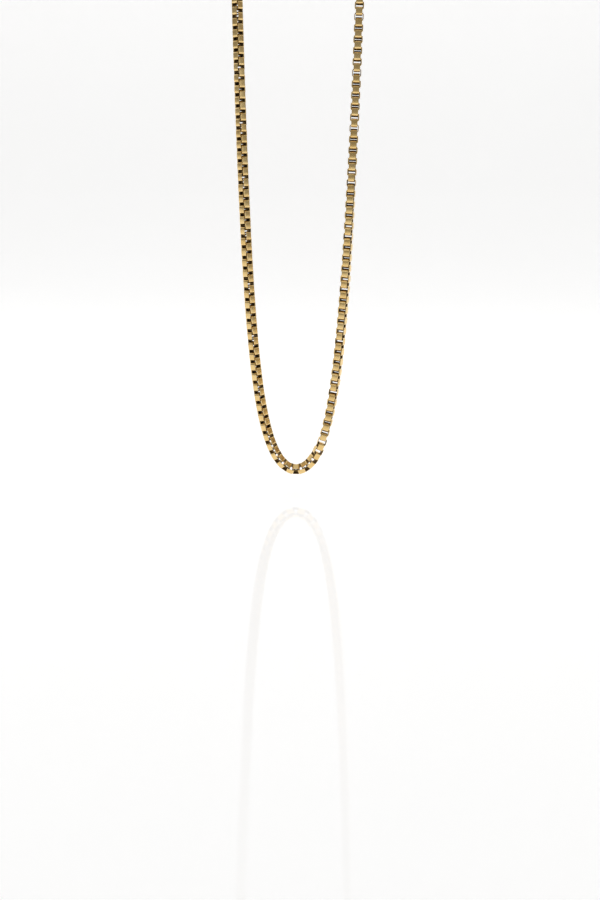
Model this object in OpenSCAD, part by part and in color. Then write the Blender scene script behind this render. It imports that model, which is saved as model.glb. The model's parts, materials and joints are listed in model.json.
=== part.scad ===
// Box-chain necklace, 18 in size, hanging over a round display bar and fastened with a lobster clasp.
// Millimetres. Z is up, the loop lies in the XZ plane, -Y is the front, and the origin is on the
// bar's axis. Link 0 is the lowest link. Link k sits k pitches along the chain from it, with
// negative k on the left and positive k on the right.

/* [Links] */
// Outside width of a square link, across the chain
link_a = 2.45; // [2.40:0.01:2.50]
// Outside length of a link, along the chain
link_len = 2.14; // [2.12:0.01:2.16]
// Width of the D-shaped strip that a link is bent from
strip_w = 1.66; // [1.60:0.01:1.68]
// Thickness of the strip at its middle
strip_t = 0.26; // [0.24:0.01:0.27]
// Height of the crown on the inside of the strip
crown = 0.13; // [0.12:0.01:0.15]
// Outside corner radius of a link
link_r = 0.55; // [0.50:0.01:0.60]
// Distance from one link to the next along the chain
pitch = 1.42; // [1.41:0.01:1.43]

/* [Loop] */
// Catenary constant at the bottom of the loop, its radius of curvature there
cat_c = 4.15; // [4.15:0.05:4.60]
// Catenary constant that the strands tend to higher up
cat_far = 3.3; // [3.1:0.1:3.6]
// Distance from the lowest link over which the constant eases from one to the other
ease_len = 30; // [20:1:40]

/* [Rings] */
// Wire diameter of the jump ring beside the clasp
jump_wire = 0.7; // [0.6:0.05:0.7]
// Mean diameter of the jump ring
jump_mean = 3.7; // [3.6:0.05:3.8]
// Wire diameter of the end ring that the clasp hooks
end_wire = 0.7; // [0.6:0.05:0.75]
// Mean diameter of the end ring
end_mean = 4.3; // [4.2:0.05:4.4]
// Rise from the end links to the clasp's axis
clasp_rise = 1.45; // [1.35:0.05:1.55]

/* [Clasp] */
// Thickness of the hook
hook_th = 1.7; // [1.6:0.1:1.8]
// Thickness of the eye
eye_th = 0.8; // [0.7:0.05:0.8]
// Radius of the hole in the eye
eye_hole = 0.85; // [0.85:0.01:0.90]
// Outside radius of the hook
hook_out = 2.4; // [2.35:0.05:2.45]
// Inside radius of the hook
hook_in = 1.45; // [1.40:0.05:1.50]
// Thickness of the lever
lever_th = 0.84; // [0.80:0.02:0.86]
// Radius of the rivet that the lever turns on
pin_r = 0.25; // [0.20:0.01:0.28]

/* [Hidden] */
fn_link = 32;
fn_ring = 48;
run_links = 10;      // links in one strand node
bend_links = 8;      // single links on each side of the lowest one
strands = 13;        // strand nodes on each side
hang_links = 141;    // links on each side that hang clear of the bar
last_link = 155;     // last link on each side
first_top = bend_links + run_links * strands + 1;

// Faces turn slowly about the chain: distance from the lowest link, then the angle of the
// closed faces from the front towards the outside of the loop.
roll_at = [[-225, 0], [-205, 0], [-110, 50], [-40, 44], [-8, 40], [0, 40], [5, 33], [8, 22],
    [11, 5], [16, -10], [35, -23], [65, -16], [95, -3], [115, 0], [225, 0]];

// Radius of the circle through three points of the crown
crown_r = (strip_w * strip_w / 4 + crown * crown) / (2 * crown);
hole_x = link_a / 2 - strip_t;
hole_z = link_len / 2 - strip_t;

// Slope of hanging link k on the right. A plain catenary has slope atan(s / c).
function hang_slope(k) = let(s = k * pitch, c = cat_far + (cat_c - cat_far) / (1 + pow(s / ease_len, 2)))
    atan(s / c);
function along(slope) = pitch * [cos(slope), sin(slope)];

// Hinge points past links 0, 1, 2 ... on the right, measured from the middle of link 0
hinge = [for (k = 0, q = [pitch / 2, 0]; k <= hang_links; k = k + 1, q = q + along(hang_slope(k))) q];

// The strands meet the bar's circle a little under its middle, where both share a tangent.
join = hinge[hang_links];
join_deg = hang_slope(hang_links + 0.5) - 90;
wrap_r = join[0] / cos(join_deg);
wrap_step = 2 * asin(pitch / 2 / wrap_r);
z_low = wrap_r * sin(join_deg) - join[1];

function hinge_past(k) = let(g = join_deg + (k - hang_links) * wrap_step)
    k <= hang_links ? hinge[k] + [0, z_low] : wrap_r * [cos(g), sin(g)];
function right_middle(k) = k == 0 ? [0, z_low] : (hinge_past(k - 1) + hinge_past(k)) / 2;
function right_slope(k) = let(d = hinge_past(k) - hinge_past(k - 1)) atan2(d[1], d[0]);
function middle(k) = let(m = right_middle(abs(k))) [k < 0 ? -m[0] : m[0], m[1]];
function slope(k) = k == 0 ? 0 : (k < 0 ? -1 : 1) * right_slope(abs(k));
function roll(k) = lookup(k * pitch, roll_at) + (k % 2 == 0 ? 0 : 90);

// Where the rings lie: their wire sits in the last link, just past its middle.
seat = 0.18;
function chain_end(side) = let(k = side * last_link)
    middle(k) + side * seat * [cos(slope(k)), sin(slope(k))];
end_l = chain_end(-1);
end_r = chain_end(1);
clasp_z = end_r[1] + clasp_rise;
tilt_l = asin(clasp_rise / jump_mean);
tilt_r = asin(clasp_rise / end_mean);
hold_l = end_l[0] + jump_mean * cos(tilt_l);
hold_r = end_r[0] - end_mean * cos(tilt_r);

// Clasp, measured along X from the loop's middle and along Y from the rings' plane
bulge = 0.5;                     // the hook's middle stands this far behind the rings
eye_x = hold_l + 0.06;
eye_rim = 0.6;
hook_x = hold_r + 0.10;
throat_x = hook_x - 2.5;
throat_in = 0.95;
tail_x = hook_x - 4.8;
tail_out = 1.6;
slot_x = hook_x - 3.7;           // the lever's opening in the hook starts here
nose_x = hook_x + 1.02;
rivet = [tail_x + 0.2, bulge + 0.85];
root_r = 0.7;
play = 0.06;
tip_gap = 0.2;                   // the lever's tip swings in an arc past the nose

function tangent_quad(xa, ra, xb, rb) = let(t = acos((ra - rb) / (xb - xa)), c = cos(t), s = sin(t))
    [[xa + ra * c, ra * s], [xb + rb * c, rb * s], [xb + rb * c, -rb * s], [xa + ra * c, -ra * s]];

module rounded_square(w, h, r) {
    square([w, h - 2 * r], center = true);
    square([w - 2 * r, h], center = true);
    for (x = [-1, 1], y = [-1, 1])
        translate([x * (w / 2 - r), y * (h / 2 - r)])
            circle(r, $fn = fn_link);
}

// The hole's outline across the strip, closed in the middle by the crown
module crowned_gap(half) {
    difference() {
        square([2 * (half + crown) + 0.02, strip_w + 0.02], center = true);
        for (side = [-1, 1])
            translate([side * (half + crown_r), 0])
                circle(crown_r, $fn = 4 * fn_link);
    }
}

// One link: opening along Y, chain along Z
module link() {
    difference() {
        rotate([90, 0, 0])
            linear_extrude(strip_w, center = true)
                rounded_square(link_a, link_len, link_r);
        intersection() {
            linear_extrude(2 * link_len, center = true)
                crowned_gap(hole_x);
            rotate([0, 90, 0])
                linear_extrude(2 * link_a, center = true)
                    crowned_gap(hole_z);
        }
    }
}

module link_at(k) {
    translate([middle(k)[0], 0, middle(k)[1]])
        rotate([0, 90 - slope(k), 0])
            rotate([0, 0, roll(k)])
                link();
}

module links(from, to) {
    for (k = [from : to])
        link_at(k);
}

module bend_link(k) {
    color("gold")
        link_at(k);
}

module left_strand(n) {
    color("goldenrod")
        links(-first_top + run_links * (n - 1) + 1, -first_top + run_links * n);
}

module right_strand(n) {
    color("goldenrod")
        links(first_top - run_links * n, first_top - run_links * (n - 1) - 1);
}

module left_chain_over_bar() {
    color("darkgoldenrod")
        links(-last_link, -first_top);
}

module right_chain_over_bar() {
    color("darkgoldenrod")
        links(first_top, last_link);
}

module ring(mean, wire) {
    rotate([90, 0, 0])
        rotate_extrude($fn = fn_ring)
            translate([mean / 2, 0])
                circle(wire / 2, $fn = fn_link);
}

module jump_ring() {
    color("khaki")
        translate([(end_l[0] + hold_l) / 2, 0, (end_l[1] + clasp_z) / 2])
            ring(jump_mean, jump_wire);
}

module end_ring() {
    color("khaki")
        translate([(end_r[0] + hold_r) / 2, 0, (end_r[1] + clasp_z) / 2])
            ring(end_mean, end_wire);
}

module hook_outline() {
    translate([hook_x, bulge])
        circle(hook_out, $fn = fn_ring);
    translate([tail_x, bulge])
        circle(tail_out, $fn = fn_ring);
    translate([0, bulge])
        polygon(tangent_quad(tail_x, tail_out, hook_x, hook_out));
}

module throat_outline() {
    translate([hook_x, bulge])
        circle(hook_in, $fn = fn_ring);
    translate([throat_x, bulge])
        circle(throat_in, $fn = fn_ring);
    translate([0, bulge])
        polygon(tangent_quad(throat_x, throat_in, hook_x, hook_in));
}

module clasp_body() {
    color("orange")
        translate([0, 0, clasp_z]) {
            difference() {
                linear_extrude(hook_th, center = true)
                    difference() {
                        hook_outline();
                        throat_outline();
                        translate([slot_x, bulge + 0.2])
                            square([nose_x - slot_x, 3]);
                    }
                translate([rivet[0] - 1, rivet[1] - root_r - 0.1, -lever_th / 2 - play])
                    cube([slot_x - rivet[0] + 1.1, 3, lever_th + 2 * play]);
                translate([rivet[0], rivet[1], 0])
                    cylinder(h = hook_th + 1, r = pin_r + 0.02, center = true, $fn = fn_link);
            }
            linear_extrude(eye_th, center = true)
                difference() {
                    union() {
                        translate([eye_x, 0])
                            circle(eye_hole + eye_rim, $fn = fn_ring);
                        translate([eye_x, -0.8])
                            square([tail_x - eye_x - 0.9, 1.8]);
                    }
                    translate([eye_x, 0])
                        circle(eye_hole, $fn = fn_ring);
                }
        }
}

module clasp_lever() {
    color("wheat")
        translate([0, 0, clasp_z])
            difference() {
                union() {
                    intersection() {
                        linear_extrude(lever_th, center = true)
                            difference() {
                                hook_outline();
                                throat_outline();
                            }
                        translate([rivet[0], bulge + 0.75, -1])
                            cube([nose_x - tip_gap - rivet[0], 3, 2]);
                    }
                    translate([rivet[0], rivet[1], 0])
                        cylinder(h = lever_th, r = root_r, center = true, $fn = fn_link);
                    translate([slot_x + 0.9, bulge + 2.05, 0])
                        cylinder(h = lever_th, r = 0.5, center = true, $fn = fn_link);
                }
                translate([rivet[0], rivet[1], 0])
                    cylinder(h = 2, r = pin_r + 0.04, center = true, $fn = fn_link);
                translate([rivet[0], rivet[1], lever_th / 2 - 0.36])
                    cylinder(h = 1, r = 0.55, $fn = fn_link);
            }
}

module clasp_rivet() {
    color("silver")
        translate([rivet[0], rivet[1], clasp_z])
            cylinder(h = hook_th, r = pin_r, center = true, $fn = fn_link);
}

// Two turns of spring wire around the rivet, in the lever's counterbore
module clasp_spring() {
    color("gray")
        for (turn = [0, 1])
            translate([rivet[0], rivet[1], clasp_z + lever_th / 2 - 0.24 + 0.16 * turn])
                rotate_extrude($fn = fn_link)
                    translate([0.40, 0])
                        circle(0.07, $fn = 16);
}

left_chain_over_bar();
right_chain_over_bar();
jump_ring();
end_ring();
clasp_body();
clasp_lever();
clasp_rivet();
clasp_spring();
left_strand(1);  // left_strand_01
left_strand(2);  // left_strand_02
left_strand(3);  // left_strand_03
left_strand(4);  // left_strand_04
left_strand(5);  // left_strand_05
left_strand(6);  // left_strand_06
left_strand(7);  // left_strand_07
left_strand(8);  // left_strand_08
left_strand(9);  // left_strand_09
left_strand(10);  // left_strand_10
left_strand(11);  // left_strand_11
left_strand(12);  // left_strand_12
left_strand(13);  // left_strand_13
right_strand(1);  // right_strand_01
right_strand(2);  // right_strand_02
right_strand(3);  // right_strand_03
right_strand(4);  // right_strand_04
right_strand(5);  // right_strand_05
right_strand(6);  // right_strand_06
right_strand(7);  // right_strand_07
right_strand(8);  // right_strand_08
right_strand(9);  // right_strand_09
right_strand(10);  // right_strand_10
right_strand(11);  // right_strand_11
right_strand(12);  // right_strand_12
right_strand(13);  // right_strand_13
bend_link(-8);  // bend_link_l8
bend_link(-7);  // bend_link_l7
bend_link(-6);  // bend_link_l6
bend_link(-5);  // bend_link_l5
bend_link(-4);  // bend_link_l4
bend_link(-3);  // bend_link_l3
bend_link(-2);  // bend_link_l2
bend_link(-1);  // bend_link_l1
bend_link(0);  // bend_link_mid
bend_link(1);  // bend_link_r1
bend_link(2);  // bend_link_r2
bend_link(3);  // bend_link_r3
bend_link(4);  // bend_link_r4
bend_link(5);  // bend_link_r5
bend_link(6);  // bend_link_r6
bend_link(7);  // bend_link_r7
bend_link(8);  // bend_link_r8
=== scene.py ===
"""A gold box-chain necklace, hanging in a long loop in front of a white studio sweep.

Every link, ring, rivet and spring is built here in mesh code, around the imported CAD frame. The clasp's
two castings are smoothed copies of their CAD nodes. The chain's curve repeats the CAD model's own
formulas. Lengths are in millimetres until a mesh is made.
"""
import json
import math
import random

import bpy
from mathutils import Matrix, Vector


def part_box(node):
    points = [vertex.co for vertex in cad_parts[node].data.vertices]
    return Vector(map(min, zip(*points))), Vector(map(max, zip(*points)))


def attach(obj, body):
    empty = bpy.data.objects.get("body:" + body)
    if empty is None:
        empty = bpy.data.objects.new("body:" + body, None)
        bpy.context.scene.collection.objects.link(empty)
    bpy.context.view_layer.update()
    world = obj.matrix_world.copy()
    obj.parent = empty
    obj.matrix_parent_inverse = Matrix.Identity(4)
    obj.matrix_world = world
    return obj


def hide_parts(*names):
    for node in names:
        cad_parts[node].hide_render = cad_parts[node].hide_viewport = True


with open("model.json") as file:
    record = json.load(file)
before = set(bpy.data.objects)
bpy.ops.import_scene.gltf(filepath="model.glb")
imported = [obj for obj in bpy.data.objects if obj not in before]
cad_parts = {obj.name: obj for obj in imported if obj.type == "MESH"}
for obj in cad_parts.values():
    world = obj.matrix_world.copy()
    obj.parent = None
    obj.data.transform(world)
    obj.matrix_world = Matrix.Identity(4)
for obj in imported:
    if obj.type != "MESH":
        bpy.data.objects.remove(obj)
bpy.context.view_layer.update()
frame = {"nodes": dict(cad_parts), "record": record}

MM = 0.001
BODY_OF = {node: body for body, nodes in frame["record"]["behaviour"]["bodies"].items() for node in nodes}

# ---------------------------------------------------------------- the chain's curve, as in the CAD

LINK_W = 2.45        # outside width of a link, across the chain
LINK_L = 2.14        # outside length of a link, along the chain
LINK_CORNER = 0.55   # outside corner radius
# strip width, thickness in the middle, and height of the crown inside. Links beside a hinge have the
# CAD's strip; links inside a stiff run fill their neighbours' openings, as the real ones do.
FREE_STRIP = (1.66, 0.26, 0.13)
SNUG_STRIP = (1.72, 0.35, 0.05)
END_ARCH, RUN_ARCH = 0.12, 0.3   # how far a hanging run's end links and inner links bulge at their ends
PITCH = 1.42         # from one link to the next
CAT_LOW, CAT_FAR, EASE = 4.15, 3.3, 30.0
BEND_LINKS, RUN_LINKS, STRANDS = 8, 10, 13
HANG_LINKS, LAST_LINK = 141, 155
FIRST_TOP = BEND_LINKS + RUN_LINKS * STRANDS + 1

# distance from the lowest link, and the angle of the closed faces from the front outwards
ROLL_AT = ((-225, 0), (-205, 0), (-110, 50), (-40, 44), (-8, 40), (0, 40), (5, 33), (8, 22), (11, 5),
           (16, -10), (35, -23), (65, -16), (95, -3), (115, 0), (225, 0))


def hang_slope(k):
    """Slope in degrees of hanging link k on the right."""
    s = k * PITCH
    c = CAT_FAR + (CAT_LOW - CAT_FAR) / (1 + (s / EASE) ** 2)
    return math.degrees(math.atan(s / c))


def hinge_points():
    """Hinge points past links 0, 1, 2 ... on the right, measured from the lowest link."""
    points = [Vector((PITCH / 2, 0))]
    for k in range(HANG_LINKS):
        slope = math.radians(hang_slope(k + 1))
        points.append(points[-1] + PITCH * Vector((math.cos(slope), math.sin(slope))))
    return points


HINGES = hinge_points()
JOIN = HINGES[HANG_LINKS]
JOIN_DEG = hang_slope(HANG_LINKS + 0.5) - 90
WRAP_R = JOIN.x / math.cos(math.radians(JOIN_DEG))
WRAP_STEP = 2 * math.degrees(math.asin(PITCH / 2 / WRAP_R))
Z_LOW = WRAP_R * math.sin(math.radians(JOIN_DEG)) - JOIN.y


def hinge_past(k):
    """The hinge point just past link k on the right, measured from the bar's axis."""
    if k <= HANG_LINKS:
        return HINGES[k] + Vector((0, Z_LOW))
    turn = math.radians(JOIN_DEG + (k - HANG_LINKS) * WRAP_STEP)
    return WRAP_R * Vector((math.cos(turn), math.sin(turn)))


def link_place(k):
    """(middle of link k in the loop's plane, its slope in degrees)."""
    if k == 0:
        return Vector((0, Z_LOW)), 0.0
    before, after = hinge_past(abs(k) - 1), hinge_past(abs(k))
    middle, step = (before + after) / 2, after - before
    slope = math.degrees(math.atan2(step.y, step.x))
    return (middle, slope) if k > 0 else (Vector((-middle.x, middle.y)), -slope)


def roll(k):
    """Angle of link k about the chain; every second link is turned a quarter more."""
    s = k * PITCH
    for (s0, a0), (s1, a1) in zip(ROLL_AT, ROLL_AT[1:]):
        if s0 <= s <= s1:
            return a0 + (a1 - a0) * (s - s0) / (s1 - s0) + (90 if k % 2 else 0)
    raise ValueError(f"link {k} is beyond the roll table")


def link_matrix(k):
    """Where link k stands: rolled about the chain, laid along its slope, then moved into place."""
    (x, z), slope = link_place(k)
    return (Matrix.Translation((x, 0, z)) @ Matrix.Rotation(math.radians(90 - slope), 4, "Y")
            @ Matrix.Rotation(math.radians(roll(k)), 4, "Z"))


# ---------------------------------------------------------------- mesh helpers

def sweep(rings, closed):
    """(vertices, faces) of a tube through rings of points. It meets itself, or has a face over each end."""
    count, around = len(rings), len(rings[0])
    vertices = [point for ring in rings for point in ring]
    faces = []
    for i in range(count if closed else count - 1):
        j = (i + 1) % count
        for a in range(around):
            b = (a + 1) % around
            faces.append((i * around + a, i * around + b, j * around + b, j * around + a))
    if not closed:
        faces.append(tuple(reversed(range(around))))
        faces.append(tuple((count - 1) * around + a for a in range(around)))
    return vertices, faces


def circle(sides):
    """(cosine, sine) at even steps round a circle."""
    turns = [2 * math.pi * i / sides for i in range(sides)]
    return [(math.cos(turn), math.sin(turn)) for turn in turns]


def box_mm(name):
    """The lowest and highest corners of a CAD node's box, in millimetres."""
    return [[c / MM for c in corner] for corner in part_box(name)]


def new_piece(name, vertices, faces, material):
    """A smooth-shaded mesh object from points in millimetres."""
    mesh = bpy.data.meshes.new(name)
    mesh.from_pydata([[c * MM for c in v] for v in vertices], [], faces)
    mesh.validate()
    mesh.polygons.foreach_set("use_smooth", [True] * len(mesh.polygons))
    mesh.materials.append(material)
    piece = bpy.data.objects.new(name, mesh)
    bpy.context.scene.collection.objects.link(piece)
    return piece


def stand_for(piece, node):
    """The piece rides on its CAD node's body and replaces the node."""
    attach(piece, BODY_OF[node])
    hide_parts(node)
    return piece


# ---------------------------------------------------------------- one link

EDGE_R = 0.045       # softened outer edges of the strip
LIP_R = 0.03         # softened inner edges
DOME = 0.018         # how far the outer face falls away at its edges
INNER_CORNER = 0.06  # least radius of the link's inner corners
CORNER_CLOSING = 1.35          # how fast the corner radius falls with the inset
SEAM_GAP, SEAM_DEPTH = 0.02, 0.03
FACE_AT = (-1, -0.8, 0, 0.8, 1)  # points over the outer face, as shares of its half width
RIM_AT = (30, 60, 90)          # points round the softened outer edge, in degrees
ARCH_AT = (0.75, 0.4)          # points along half an arched end, as shares of its half width
CROWN_STEPS, CORNER_STEPS = 7, 6
# how far inside the link each sort of point counts as, for the painted shade on its inner side
FACE, RIM, LIP, CROWN = 0.0, 0.1, 0.5, 1.0


def strip_profile(strip):
    """The strip's section as (across, inset, inside) points: slightly domed outside, crowned inside."""
    width, thick, crown = strip
    crown_r = (width ** 2 / 4 + crown ** 2) / (2 * crown)
    half = width / 2
    flat = half - EDGE_R
    face = [(flat * u, DOME * u * u, FACE) for u in FACE_AT]
    rim = []
    for turn in map(math.radians, RIM_AT):
        rim.append((half - EDGE_R * (1 - math.sin(turn)), DOME + EDGE_R * (1 - math.cos(turn)), RIM))
    rim.append((half, thick - crown - LIP_R, LIP))
    inner = []
    for i in range(CROWN_STEPS + 1):
        y = (half - LIP_R) * (1 - 2 * i / CROWN_STEPS)
        inner.append((y, thick - crown_r + math.sqrt(crown_r ** 2 - y * y), CROWN))
    return face + rim + inner + [(-y, inset, inside) for y, inset, inside in reversed(rim)]


def outline(inset, seam, arch):
    """The link's outline in x and z, shrunk by an inset.

    Its ends are arched outwards, and the lower one has a fine butt seam.
    """
    radius = max(INNER_CORNER, LINK_CORNER - CORNER_CLOSING * inset)
    hx, hz = LINK_W / 2 - inset - radius, LINK_L / 2 - inset - radius

    def end(x):
        return hz + radius + arch * (1 - (x / hx) ** 2)

    right = [hx * u for u in ARCH_AT]
    left = [-x for x in reversed(right)]
    points = []
    for quarter, (sx, sz) in enumerate(((1, 1), (-1, 1), (-1, -1), (1, -1))):
        for step in range(CORNER_STEPS + 1):
            turn = math.radians(90 * (quarter + step / CORNER_STEPS))
            points.append((sx * hx + radius * math.cos(turn), sz * hz + radius * math.sin(turn)))
        if quarter == 0:
            points += [(x, end(x)) for x in right + [0.0] + left]
        if quarter == 2:
            across = [-x for x in right] + [-SEAM_GAP, 0.0, SEAM_GAP] + [-x for x in left]
            points += [(x, (0.0 if x else seam) - end(x)) for x in across]
    return points


def link_shape(strip, arch=0.0):
    """(points, faces, inside weight of each point) of one link, opening along Y."""
    profile = strip_profile(strip)
    outlines = [outline(inset, SEAM_DEPTH * (1 - inside), arch * (1 - inside))
                for _, inset, inside in profile]
    rings = [[(outlines[p][i][0], across, outlines[p][i][1]) for p, (across, _, _) in enumerate(profile)]
             for i in range(len(outlines[0]))]
    vertices, faces = sweep(rings, closed=True)
    inside = [weight for _ in rings for _, _, weight in profile]
    return [Vector(v) for v in vertices], faces, inside


FREE_LINK, SNUG_LINK = link_shape(FREE_STRIP), link_shape(SNUG_STRIP)
RUN_END_LINK, RUN_LINK = link_shape(FREE_STRIP, END_ARCH), link_shape(SNUG_STRIP, RUN_ARCH)
TILT_DEG = 0.5       # how far a loose link may sit off true
LINK_SEED = 1000     # link k draws its tilt from this seed plus k


def shape_of(k, links):
    """The shape of link k in its run."""
    hanging = len(links) > 1 and abs(k) < FIRST_TOP
    if k in (min(links), max(links)):
        return RUN_END_LINK if hanging else FREE_LINK
    return RUN_LINK if hanging else SNUG_LINK


def chain_piece(name, links, material):
    """One piece for a run of links. The hanging ones are each tilted a little, as loose links are."""
    vertices, faces, inside = [], [], []
    for k in links:
        points, link_faces, link_inside = shape_of(k, links)
        dice = random.Random(LINK_SEED + k)
        loose = Matrix.Identity(4)
        if abs(k) < FIRST_TOP:
            for axis in "XYZ":
                tilt = math.radians(dice.uniform(-TILT_DEG, TILT_DEG))
                loose = loose @ Matrix.Rotation(tilt, 4, axis)
        place = link_matrix(k) @ loose
        first = len(vertices)
        vertices += [place @ p for p in points]
        faces += [[first + i for i in face] for face in link_faces]
        inside += link_inside
    piece = new_piece(name + "_links", vertices, faces, material)
    piece.data.attributes.new("inside", "FLOAT", "POINT").data.foreach_set("value", inside)
    return stand_for(piece, name)


# ---------------------------------------------------------------- rings, rivet and spring

JUMP_MEAN, END_MEAN, RING_WIRE = 3.7, 4.3, 0.7   # the rings' mean diameters, and their wire's
RING_STATIONS, RING_SIDES = 120, 28
JOINT_HALF, JOINT_DEPTH = 0.012, 0.045   # half a ring joint's width in radians, and its depth
WIRE_SHRINK = 0.998  # the wire's radius as a share of the CAD's
# a rivet's burred end: (share of its radius, distance from its end)
BURR = ((0.0004, 0.0), (0.45, 0.004), (0.75, 0.02), (0.93, 0.05), (0.995, 0.1))
RIVET_SIDES = 32
SPRING_WIRE_R, SPRING_TURNS = 0.06, 1.38
SPRING_MARGIN = 0.07   # from the CAD spring's outside to the wire's middle
SPRING_STATIONS, SPRING_SIDES = 72, 12


def wire_ring(name, mean, material):
    """A round ring of wire, standing in the loop's plane, with the fine line of its closed joint on top."""
    x, y, z = [(a + b) / 2 for a, b in zip(*box_mm(name))]
    top = math.pi / 2
    even = [2 * math.pi * (i + 0.5) / RING_STATIONS for i in range(RING_STATIONS)]
    rings = []
    for turn in sorted(even + [top - JOINT_HALF, top, top + JOINT_HALF]):
        radius = (RING_WIRE / 2 - (JOINT_DEPTH if turn == top else 0.0)) * WIRE_SHRINK
        ring = []
        for cosine, sine in circle(RING_SIDES):
            r = mean / 2 + radius * cosine
            ring.append((x + r * math.cos(turn), y + radius * sine, z + r * math.sin(turn)))
        rings.append(ring)
    return stand_for(new_piece(name + "_wire", *sweep(rings, closed=True), material), name)


def rivet_pin(name, material):
    """A pin with burred-over, slightly domed ends, flush with the hook's sides."""
    low, high = box_mm(name)
    x, y = [(low[i] + high[i]) / 2 for i in range(2)]
    radius = (high[0] - low[0]) / 2
    steps = [(share * radius, low[2] + inset) for share, inset in BURR]
    steps += [(share * radius, high[2] - inset) for share, inset in reversed(BURR)]
    rings = [[(x + r * cosine, y + r * sine, z) for cosine, sine in circle(RIVET_SIDES)] for r, z in steps]
    return stand_for(new_piece(name + "_pin", *sweep(rings, closed=False), material), name)


def coil_spring(name, material):
    """A turn and a bit of spring wire round the rivet."""
    low, high = box_mm(name)
    x, y = [(low[i] + high[i]) / 2 for i in range(2)]
    coil_r = (high[0] - low[0]) / 2 - SPRING_MARGIN
    rings = []
    for i in range(SPRING_STATIONS + 1):
        along = i / SPRING_STATIONS
        turn = 2 * math.pi * SPRING_TURNS * along
        level = low[2] + SPRING_WIRE_R + (high[2] - low[2] - 2 * SPRING_WIRE_R) * along
        ring = []
        for cosine, sine in circle(SPRING_SIDES):
            r = coil_r + SPRING_WIRE_R * cosine
            ring.append((x + r * math.cos(turn), y + r * math.sin(turn), level - SPRING_WIRE_R * sine))
        rings.append(ring)
    return stand_for(new_piece(name + "_coil", *sweep(rings, closed=False), material), name)


# ---------------------------------------------------------------- the clasp's castings

CAST_GRAIN = 0.045   # voxel size of the remeshed castings
CAST_EASE, CAST_PASSES = 0.5, 8   # strength and count of the smoothing passes


def cast_piece(name, material):
    """A cast and tumbled copy of a CAD node, with every edge rounded over."""
    source = frame["nodes"][name]
    mesh = source.data.copy()
    mesh.name = name + "_cast"
    mesh.transform(Matrix.Scale(1 / MM, 4))
    piece = bpy.data.objects.new(name + "_cast", mesh)
    bpy.context.scene.collection.objects.link(piece)
    remesh = piece.modifiers.new("remesh", "REMESH")
    remesh.mode, remesh.voxel_size = "VOXEL", CAST_GRAIN
    relax = piece.modifiers.new("relax", "SMOOTH")
    relax.factor, relax.iterations = CAST_EASE, CAST_PASSES
    bpy.context.view_layer.update()
    evaluated = piece.evaluated_get(bpy.context.evaluated_depsgraph_get())
    finished = bpy.data.meshes.new_from_object(evaluated)
    piece.modifiers.clear()
    piece.data = finished
    finished.transform(Matrix.Scale(MM, 4))
    finished.polygons.foreach_set("use_smooth", [True] * len(finished.polygons))
    finished.materials.clear()
    finished.materials.append(material)
    return stand_for(piece, name)


# ---------------------------------------------------------------- materials

def add(tree, kind, settings=None, **inputs):
    """A shader node whose inputs are set, or linked where a socket is given.

    An input is given by its name with underscores, or by its number, as in _0.
    """
    made = tree.nodes.new("ShaderNode" + kind)
    for key, value in (settings or {}).items():
        setattr(made, key, value)
    for key, value in inputs.items():
        socket = made.inputs[int(key[1:])] if key[0] == "_" else made.inputs[key.replace("_", " ")]
        if isinstance(value, bpy.types.NodeSocket):
            tree.links.new(value, socket)
        else:
            socket.default_value = value
    return made


def blend_colours(tree, factor, first, second):
    """The colour a given share of the way from the first to the second."""
    return add(tree, "Mix", {"data_type": "RGBA"}, _0=factor, _6=first, _7=second).outputs[2]


def noise(tree, place, size_mm, detail, roughness):
    """Noise whose patches are about as large as the given size."""
    return add(tree, "TexNoise", Vector=place, Scale=1 / (size_mm * MM), Detail=detail,
               Roughness=roughness).outputs["Fac"]


def remap(tree, value, from_min, from_max, to_min, to_max):
    """The value, stretched from one range to another and held inside it."""
    return add(tree, "MapRange", Value=value, From_Min=from_min, From_Max=from_max,
               To_Min=to_min, To_Max=to_max).outputs["Result"]


DRIFT_MM = 1 / 0.35                          # size of the slow patches of colour
SHADE_REACH_MM = 0.7                              # how near another surface has to be for painted shade to darken a spot, as in recesses
RIPPLE, RIPPLE_MM = 0.12, 0.02               # strength and depth of the worn polish
SCRATCH, SCRATCH_MM = 0.10, 0.008            # strength and depth of the scratches
SCRATCH_TURN, SCRATCH_STRETCH = (0.5, 0.35, 0.9), (1.0, 9.0, 9.0)


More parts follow.
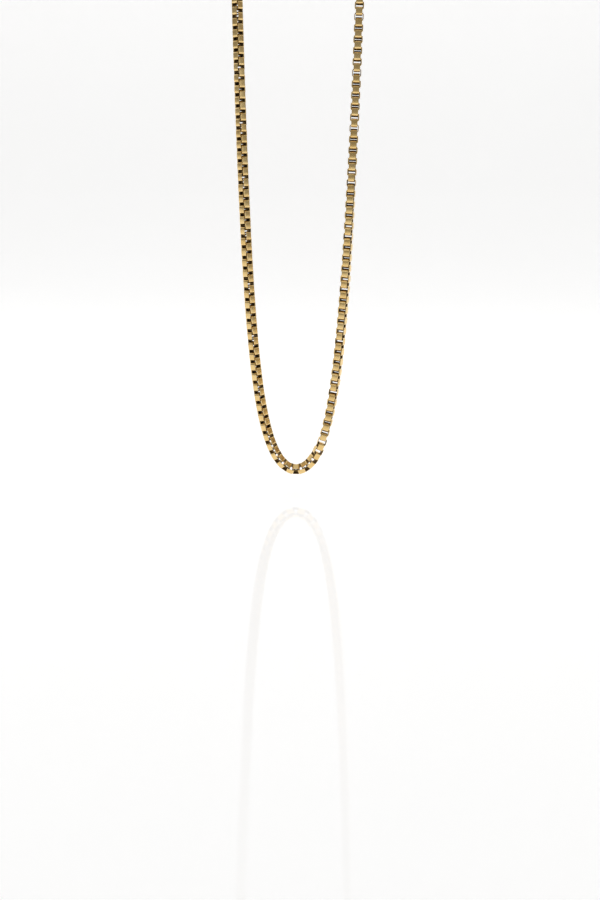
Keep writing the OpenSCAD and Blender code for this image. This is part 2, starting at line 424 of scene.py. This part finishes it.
def polished_metal(name, light, deep, painted_shade_colour, rough, wear_mm, scratch_mm, inside=False):
    """Polished metal: colour drifts from light to deep, recesses (and, with inside, the links' inner sides)
    get painted shade, fine scratches.
    """
    material = bpy.data.materials.new(name)
    material.use_nodes = True
    tree = material.node_tree
    tree.nodes.clear()
    place = add(tree, "TexCoord").outputs["Object"]
    drift = noise(tree, place, DRIFT_MM, 3.0, 0.55)
    clouds = noise(tree, place, wear_mm, 5.0, 0.65)
    # fine scratches: noise stretched along one slanted direction
    slant = add(tree, "Mapping", Vector=place, Rotation=SCRATCH_TURN, Scale=SCRATCH_STRETCH).outputs["Vector"]
    hair = noise(tree, slant, scratch_mm, 2.0, 0.5)
    each = add(tree, "NewGeometry").outputs["Random Per Island"]

    tone = add(tree, "Math", {"operation": "ADD"}, _0=remap(tree, drift, 0.3, 0.7, 0.0, 0.7),
               _1=remap(tree, each, 0.0, 1.0, -0.15, 0.3)).outputs[0]
    colour = blend_colours(tree, tone, light, deep)
    # painted shade: the colour goes towards the near-black shade colour wherever another surface is near, as
    # in recesses
    near = add(tree, "AmbientOcclusion", {"samples": 8, "only_local": False},
               Distance=SHADE_REACH_MM * MM).outputs["AO"]
    shade = remap(tree, near, 0.25, 0.8, 1.0, 0.0)
    # painted shade on the links' inner sides, darker the further inside each point counts
    if inside:
        within = add(tree, "Attribute", {"attribute_name": "inside"}).outputs["Fac"]
        shade = add(tree, "Math", {"operation": "MAXIMUM"}, _0=shade,
                    _1=remap(tree, within, 0.3, 1.0, 0.0, 0.8)).outputs[0]
    colour = blend_colours(tree, shade, colour, painted_shade_colour)
    gloss = add(tree, "Math", {"operation": "ADD"}, _0=remap(tree, clouds, 0.3, 0.7, rough[0], rough[1]),
                _1=remap(tree, shade, 0.0, 1.0, 0.0, 0.22)).outputs[0]
    ripple = add(tree, "Bump", Strength=RIPPLE, Distance=RIPPLE_MM * MM, Height=clouds).outputs["Normal"]
    fine = add(tree, "Bump", Strength=SCRATCH, Distance=SCRATCH_MM * MM, Height=hair,
               Normal=ripple).outputs["Normal"]
    metal = add(tree, "BsdfPrincipled", Base_Color=colour, Metallic=1.0, Roughness=gloss, Normal=fine)
    add(tree, "OutputMaterial", Surface=metal.outputs[0])
    return material


GOLD = (0.92, 0.69, 0.33, 1), (0.80, 0.53, 0.19, 1), (0.02, 0.006, 0.002, 1)      # light, deep, and the painted shade of recesses and inner sides
STEEL = (0.72, 0.71, 0.68, 1), (0.55, 0.54, 0.52, 1), (0.06, 0.055, 0.05, 1)
chain_gold = polished_metal("chain_gold", *GOLD, (0.14, 0.26), 0.25, 0.35, inside=True)
ring_gold = polished_metal("ring_gold", *GOLD, (0.10, 0.20), 0.4, 0.3)
clasp_gold = polished_metal("clasp_gold", *GOLD, (0.12, 0.26), 0.5, 0.4)
bright_steel = polished_metal("bright_steel", *STEEL, (0.18, 0.32), 0.2, 0.15)

# ---------------------------------------------------------------- the necklace

for n in range(1, STRANDS + 1):
    upper = FIRST_TOP - RUN_LINKS * (n - 1) - 1
    run = range(upper - RUN_LINKS + 1, upper + 1)
    chain_piece(f"right_strand_{n:02d}", run, chain_gold)
    chain_piece(f"left_strand_{n:02d}", [-k for k in run], chain_gold)
for k in range(1, BEND_LINKS + 1):
    chain_piece(f"bend_link_r{k}", [k], chain_gold)
    chain_piece(f"bend_link_l{k}", [-k], chain_gold)
chain_piece("bend_link_mid", [0], chain_gold)
over_bar = range(FIRST_TOP, LAST_LINK + 1)
chain_piece("right_chain_over_bar", over_bar, chain_gold)
chain_piece("left_chain_over_bar", [-k for k in over_bar], chain_gold)

wire_ring("jump_ring", JUMP_MEAN, ring_gold)
wire_ring("end_ring", END_MEAN, ring_gold)
cast_piece("clasp_body", clasp_gold)
cast_piece("clasp_lever", clasp_gold)
rivet_pin("clasp_rivet", bright_steel)
coil_spring("clasp_spring", bright_steel)

# ---------------------------------------------------------------- camera

CAMERA_DISTANCE, CAMERA_LENS, CAMERA_SENSOR = 400.0, 57.68, 36.0
CAMERA_PITCH, CAMERA_YAW, CAMERA_ROLL = 12.0, -0.365, 0.314   # degrees
CAMERA_TARGET = Vector((1.083, 0.0, Z_LOW + 5.446))


def make_camera():
    """A camera a little above the loop's bend, looking slightly down at it."""
    down, yaw, lean = (math.radians(a) for a in (CAMERA_PITCH, CAMERA_YAW, CAMERA_ROLL))
    ahead = Vector((math.sin(yaw) * math.cos(down), math.cos(yaw) * math.cos(down), -math.sin(down)))
    right = ahead.cross(Vector((0, 0, 1))).normalized()
    up = right.cross(ahead)
    level, plumb = right, up
    right = level * math.cos(lean) + plumb * math.sin(lean)
    up = plumb * math.cos(lean) - level * math.sin(lean)
    data = bpy.data.cameras.new("camera")
    data.sensor_width, data.lens = CAMERA_SENSOR, CAMERA_LENS
    data.clip_start, data.clip_end = 0.01, 20.0
    camera = bpy.data.objects.new("camera", data)
    facing = Matrix((right, up, -ahead)).transposed().to_4x4()
    camera.matrix_world = Matrix.Translation((CAMERA_TARGET - ahead * CAMERA_DISTANCE) * MM) @ facing
    bpy.context.scene.collection.objects.link(camera)
    bpy.context.scene.camera = camera


make_camera()

# ---------------------------------------------------------------- studio

FLOOR_DROP = 6.2     # from the middle of the lowest link down to the floor
FLOOR_Z = (Z_LOW - FLOOR_DROP) * MM
SWEEP_GLOW = 0.42    # the sweep is lit from behind, as a light table is
AIM_RISE = 30.0      # how far above the lowest link the lights point
# the sweep in metres: how far its wall and front are from the necklace, its cove's radius and steps,
# half its width, and its height
WALL, FRONT, COVE, COVE_STEPS, HALF_WIDTH, HEIGHT = 0.55, -1.2, 0.25, 12, 1.6, 1.3


def studio_sweep():
    """A pale floor that curves up into a backdrop."""
    line = [(FRONT, 0.0), (0.0, 0.0)]
    for step in range(COVE_STEPS + 1):
        a = math.radians(90 * step / COVE_STEPS)
        line.append((WALL - COVE + COVE * math.sin(a), COVE - COVE * math.cos(a)))
    line.append((WALL, HEIGHT))
    vertices = [(x / MM, y / MM, (FLOOR_Z + z) / MM) for y, z in line for x in (-HALF_WIDTH, HALF_WIDTH)]
    faces = [(2 * i, 2 * i + 1, 2 * i + 3, 2 * i + 2) for i in range(len(line) - 1)]
    material = bpy.data.materials.new("studio_white")
    material.use_nodes = True
    tree = material.node_tree
    tree.nodes.clear()
    place = add(tree, "TexCoord").outputs["Object"]
    mottle = add(tree, "TexNoise", Vector=place, Scale=14.0, Detail=3.0).outputs["Fac"]
    tint = blend_colours(tree, mottle, (0.93, 0.93, 0.93, 1), (0.95, 0.95, 0.95, 1))
    card = add(tree, "BsdfPrincipled", Base_Color=tint, Roughness=0.03, IOR=1.18,
               Emission_Color=(1, 1, 1, 1), Emission_Strength=SWEEP_GLOW)
    add(tree, "OutputMaterial", Surface=card.outputs[0])
    new_piece("studio_sweep", vertices, faces, material)


def soft_light(name, spot, size, watts):
    """A soft square light aimed at the loop's bend."""
    data = bpy.data.lights.new(name, "AREA")
    data.shape, data.size, data.energy = "SQUARE", size, watts
    light = bpy.data.objects.new(name, data)
    light.location = spot
    aim = Vector((0, 0, (Z_LOW + AIM_RISE) * MM)) - light.location
    light.rotation_euler = aim.to_track_quat("-Z", "Y").to_euler()
    bpy.context.scene.collection.objects.link(light)


studio_sweep()
soft_light("key_light", Vector((-0.55, -0.65, 0.45)), 0.7, 0.9)
soft_light("fill_light", Vector((0.7, -0.45, 0.15)), 0.6, 0.45)
soft_light("top_light", Vector((0.0, 0.1, 0.75)), 0.9, 1.0)

world = bpy.data.worlds.new("studio_air")
world.use_nodes = True
surround = world.node_tree.nodes["Background"]
surround.inputs["Color"].default_value = (1.0, 0.99, 0.97, 1)
surround.inputs["Strength"].default_value = 0.28
bpy.context.scene.world = world
bpy.context.scene.view_settings.view_transform = "Standard"
